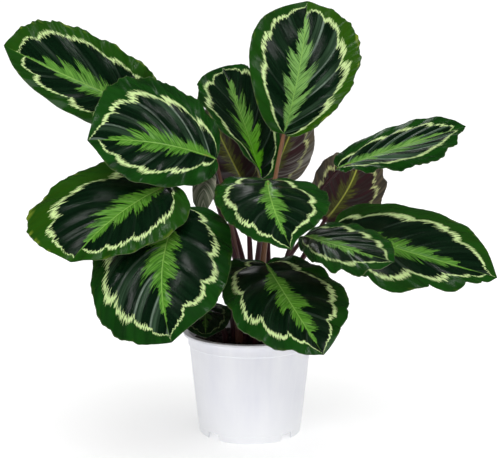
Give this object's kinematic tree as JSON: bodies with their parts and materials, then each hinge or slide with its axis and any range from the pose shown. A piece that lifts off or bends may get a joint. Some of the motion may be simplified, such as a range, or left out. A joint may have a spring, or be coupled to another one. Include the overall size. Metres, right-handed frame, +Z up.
{
  "type": "potted prayer plant",
  "caption": "Bushy potted house plant: broad round patterned leaves on thin stalks that spread from dark soil in a plain tapered nursery pot with a notched foot.",
  "frame": {"origin": "on the ground under the middle of the plant, on the axis of the pot", "axes": "+Z up along the pot's axis, -Y towards the viewer of the picture, +X to the viewer's right along the plant's widest spread"},
  "size_m": [0.5021, 0.3079, 0.4481],
  "materials": {
    "pot": "satin white, faintly cool",
    "soil": null,
    "leaf": null,
    "stalk": null
  },
  "bodies": {
    "root": {"pot": "pot", "soil": "soil", "leaf_far_left": "leaf", "leaf_upper_left": "leaf", "leaf_left": "leaf", "leaf_lower_left": "leaf", "leaf_top_left": "leaf", "leaf_top": "leaf", "leaf_back": "leaf", "leaf_upper_right": "leaf", "leaf_back_right": "leaf", "leaf_front": "leaf", "leaf_far_right": "leaf", "leaf_right": "leaf", "leaf_lower_front": "leaf", "leaf_low_small": "leaf", "leaf_young": "leaf", "leaf_back_left": "leaf", "stalk_far_left": "stalk", "stalk_upper_left": "stalk", "stalk_left": "stalk", "stalk_lower_left": "stalk", "stalk_top_left": "stalk", "stalk_top": "stalk", "stalk_back": "stalk", "stalk_upper_right": "stalk", "stalk_back_right": "stalk", "stalk_front": "stalk", "stalk_far_right": "stalk", "stalk_right": "stalk", "stalk_lower_front": "stalk", "stalk_low_small": "stalk", "stalk_young": "stalk", "stalk_back_left": "stalk"}
  },
  "joints": []
}
